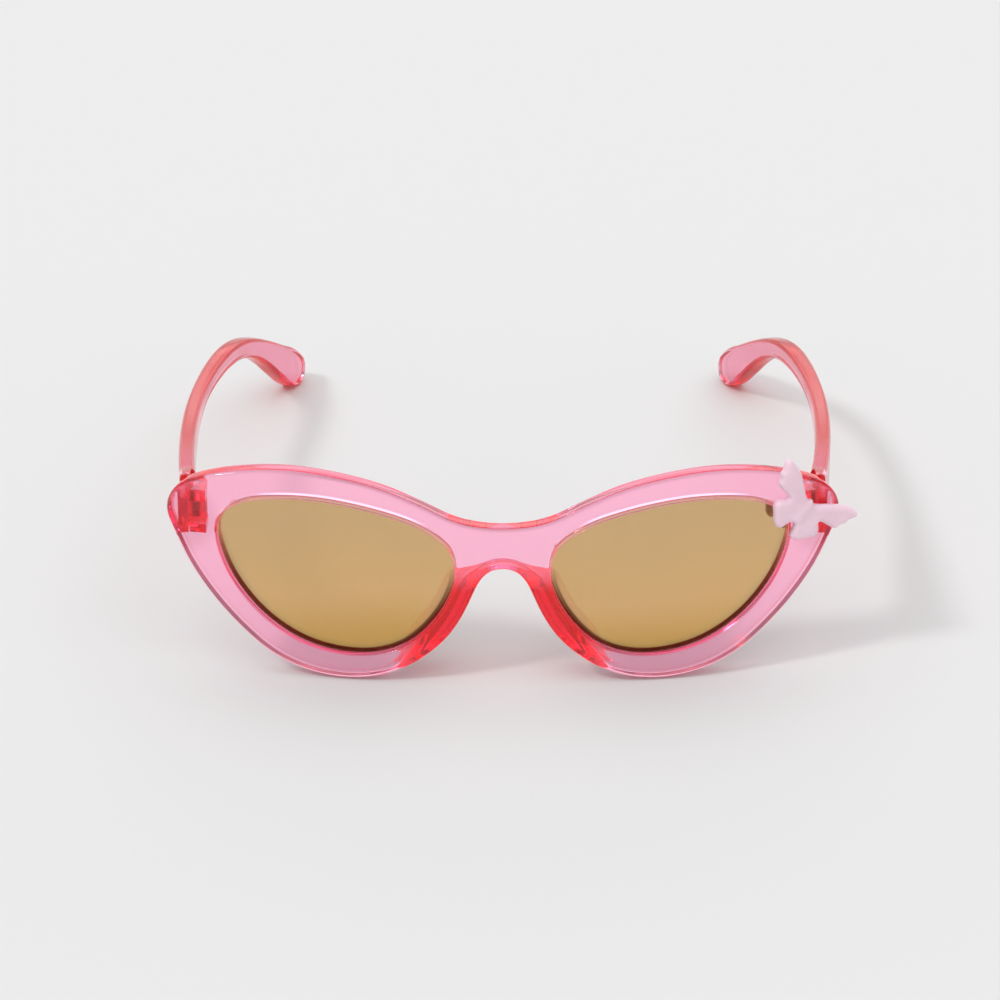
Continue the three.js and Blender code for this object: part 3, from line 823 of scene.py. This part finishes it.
def temple(name, side, spread):
    """A shaft that curves round the head and thickens to its tip, with a tongue between the front's ears."""
    outline = faired(even(smooth_line(TEMPLE_SIDE), TEMPLE_STEP), TEMPLE_FAIRING)

    def move(points):
        along, up, depth = points.T
        thickness = SHAFT_THICKNESS + (TIP_THICKNESS - SHAFT_THICKNESS) * smoothstep(along, *THICKENING)
        outward = (SHAFT_THICKNESS / 2 - depth) * thickness / SHAFT_THICKNESS
        x, y = middle_line(along)
        turn = heading(along)
        x, y = turned(x + np.cos(turn) * outward, y + np.sin(turn) * outward, spread)
        return np.column_stack([side * (HINGE[0] + x), HINGE[1] + y, HINGE[2] + up])

    profile = rounded(SHAFT_THICKNESS, TEMPLE_ROUND)
    piece = build(f"clear_temple_{name}", *solid(outline, profile, move, spacing=TEMPLE_GRID))
    cut_hinge_space(piece, side)
    inner = TEMPLE_OUTSIDE - SHAFT_THICKNESS
    root = [(inner + 1.5, 3), (inner + 0.5, 7), (inner - 0.4, 6.5)]
    tongue = [*root, *arc(EAR_RADIUS - 0.1, math.pi * 0.9, math.pi * 1.85)]
    combine(piece, slab(tongue, tongue_low, tongue_high, side, spread), "UNION")
    combine(piece, cylinder(SCREW_RADIUS + GAP, EAR_BOTTOM, EAR_TOP, side * HINGE[0], HINGE[1]), "DIFFERENCE")
    finish_piece(piece, f"temple_{name}", temple_pink, f"temple_{name}", masks=temple_masks)


temple("left", 1, LEFT_SPREAD)
temple("right", -1, 0.0)

# ---- butterfly charm ----

CHARM_STEP, CHARM_FAIRING = 0.16, 0.9
CHARM_GRID = 0.3
CHARM_RINGS = (0.04, 0.12, 0.25, 0.42)  # insets of the rings of points along its edge
CHARM_EDGE, CHARM_BACK_EDGE = 1.1, 0.3  # widths of the rounded edges
RIM_SHARE, DOME_SHARE, BODY_SHARE = 0.25, 0.62, 0.13  # of the charm's thickness
BODY_WIDTH = 0.9


def dome(edge, width):
    """A quarter circle from 0 at the edge to 1 at the given width."""
    share = np.clip(edge / width, 0, 1)
    return np.sqrt(1 - (1 - share) ** 2)


def charm():
    """A soft pillow shape over the butterfly's outline, with a raised body."""
    sideways = [(aside, ahead) for ahead, aside in BUTTERFLY_HALF]
    loop = faired(even(smooth_line(sideways + mirrored(sideways[1:])), CHARM_STEP), CHARM_FAIRING)
    near = []
    for inset in CHARM_RINGS:
        ring = loop - normals(loop) * inset
        ring = ring[inside(ring, loop)]
        near.append(ring[distance(ring, loop) > inset * 0.93])
    grid = triangle_grid(loop, CHARM_GRID)
    grid = grid[distance(grid, loop) > 0.55]
    points = np.concatenate([loop, *near, grid])
    count = len(loop)
    faces = fill([loop], points[count:])
    edge = distance(points, loop)
    edge[:count] = 0
    raised = dome(edge, CHARM_EDGE)
    body = np.exp(-(points[:, 0] / BODY_WIDTH) ** 2)
    front_depth = CHARM_THICKNESS * (RIM_SHARE + DOME_SHARE * raised + BODY_SHARE * body * raised)
    back_depth = CHARM_THICKNESS * RIM_SHARE * (1 - dome(edge, CHARM_BACK_EDGE))
    placed = np.column_stack(turned(points[:, 0], points[:, 1], -CHARM_TURN)) + CHARM_PLACE
    top = np.column_stack([placed, -GAP - front_depth])
    bottom = np.column_stack([placed, -GAP - back_depth])[count:]
    bottom_index = np.arange(len(points))
    bottom_index[count:] += len(points) - count
    under = bottom_index[faces][:, ::-1]
    piece = build("pearl_butterfly", wrap(np.concatenate([top, bottom])), [*faces.tolist(), *under.tolist()])
    finish_piece(piece, "front", pearly, "butterfly_charm", sharp=80)


charm()

# ---- floor, light and camera ----

FLOOR_HALF_M = 6.0
FLOOR_COLOUR = (0.8, 0.8, 0.8, 1)
ROOM = [(0.5, 0.9), (0.66, 0.86), (0.72, 0.45), (0.8, 0.5), (0.86, 1.15), (1.0, 1.3)]  # (height, light)
GLOW = [(0.56, 0.0), (0.6, 1.0), (0.68, 1.0), (0.72, 0.0)]  # (height, light) of the panel behind
GLOW_SIDES = (0.45, 0.85)
ROOM_STRENGTH = 0.905
KEY_STRENGTH, KEY_ANGLE, KEY_DIRECTION = 0.7, math.radians(10), (0.78, 0.36, -1)
CAMERA_DISTANCE = 0.68
CAMERA_ELEVATION = math.radians(31)
AIM_ELEVATION = math.radians(27.99)
AIM_ASIDE = -0.0008
LENS_MM, SENSOR_MM = 126.56, 36
BOUNCES = 40


def floor():
    material, tree, shader = node_material("paper")
    set_inputs(shader, Base_Color=FLOOR_COLOUR, Roughness=0.9, Specular_IOR_Level=0, IOR=1)
    corners = [(x * FLOOR_HALF_M, y * FLOOR_HALF_M, 0) for x, y in ((-1, -1), (1, -1), (1, 1), (-1, 1))]
    piece = build("floor", corners, [(0, 1, 2, 3)])
    piece.data.materials.append(material)


def room():
    """A pale studio with a darker band under its bright ceiling, and a light panel behind the object."""
    world = bpy.data.worlds.new("studio")
    bpy.context.scene.world = world
    world.use_nodes = True
    sky = world.node_tree
    direction = split_coordinates(sky, "Generated")
    height = share_of_range(sky, direction["Z"], -1, 1)
    behind = share_of_range(sky, direction["Y"], *GLOW_SIDES)
    light = calculate(sky, "MULTIPLY_ADD", ramp(sky, height, GLOW), behind, ramp(sky, height, ROOM))
    background = sky.nodes["Background"]
    sky.links.new(light, background.inputs["Color"])
    set_inputs(background, Strength=ROOM_STRENGTH)


def key_light():
    key = bpy.data.lights.new("key", "SUN")
    key.energy = KEY_STRENGTH
    key.angle = KEY_ANGLE
    key_object = bpy.data.objects.new("key", key)
    key_object.rotation_euler = Vector(KEY_DIRECTION).to_track_quat("-Z", "Y").to_euler()
    bpy.context.scene.collection.objects.link(key_object)


def photo_camera():
    middle_x = (Vector(left_joint["pos_m"]).x + Vector(right_joint["pos_m"]).x) / 2
    target = Vector((middle_x, place.y, 0))
    away = Vector((0, -math.cos(CAMERA_ELEVATION), math.sin(CAMERA_ELEVATION)))
    aim = Vector((AIM_ASIDE, math.cos(AIM_ELEVATION), -math.sin(AIM_ELEVATION)))
    camera = bpy.data.cameras.new("camera")
    camera.lens = LENS_MM
    camera.sensor_width = SENSOR_MM
    camera_object = bpy.data.objects.new("camera", camera)
    camera_object.location = target + CAMERA_DISTANCE * away
    camera_object.rotation_mode = "QUATERNION"
    camera_object.rotation_quaternion = aim.to_track_quat("-Z", "Y")
    bpy.context.scene.collection.objects.link(camera_object)
    bpy.context.scene.camera = camera_object


floor()
room()
key_light()
photo_camera()

bpy.context.scene.view_settings.view_transform = "Standard"
cycles = bpy.context.scene.cycles
cycles.max_bounces = BOUNCES
cycles.transmission_bounces = BOUNCES
cycles.glossy_bounces = BOUNCES
cycles.caustics_reflective = False
cycles.caustics_refractive = True
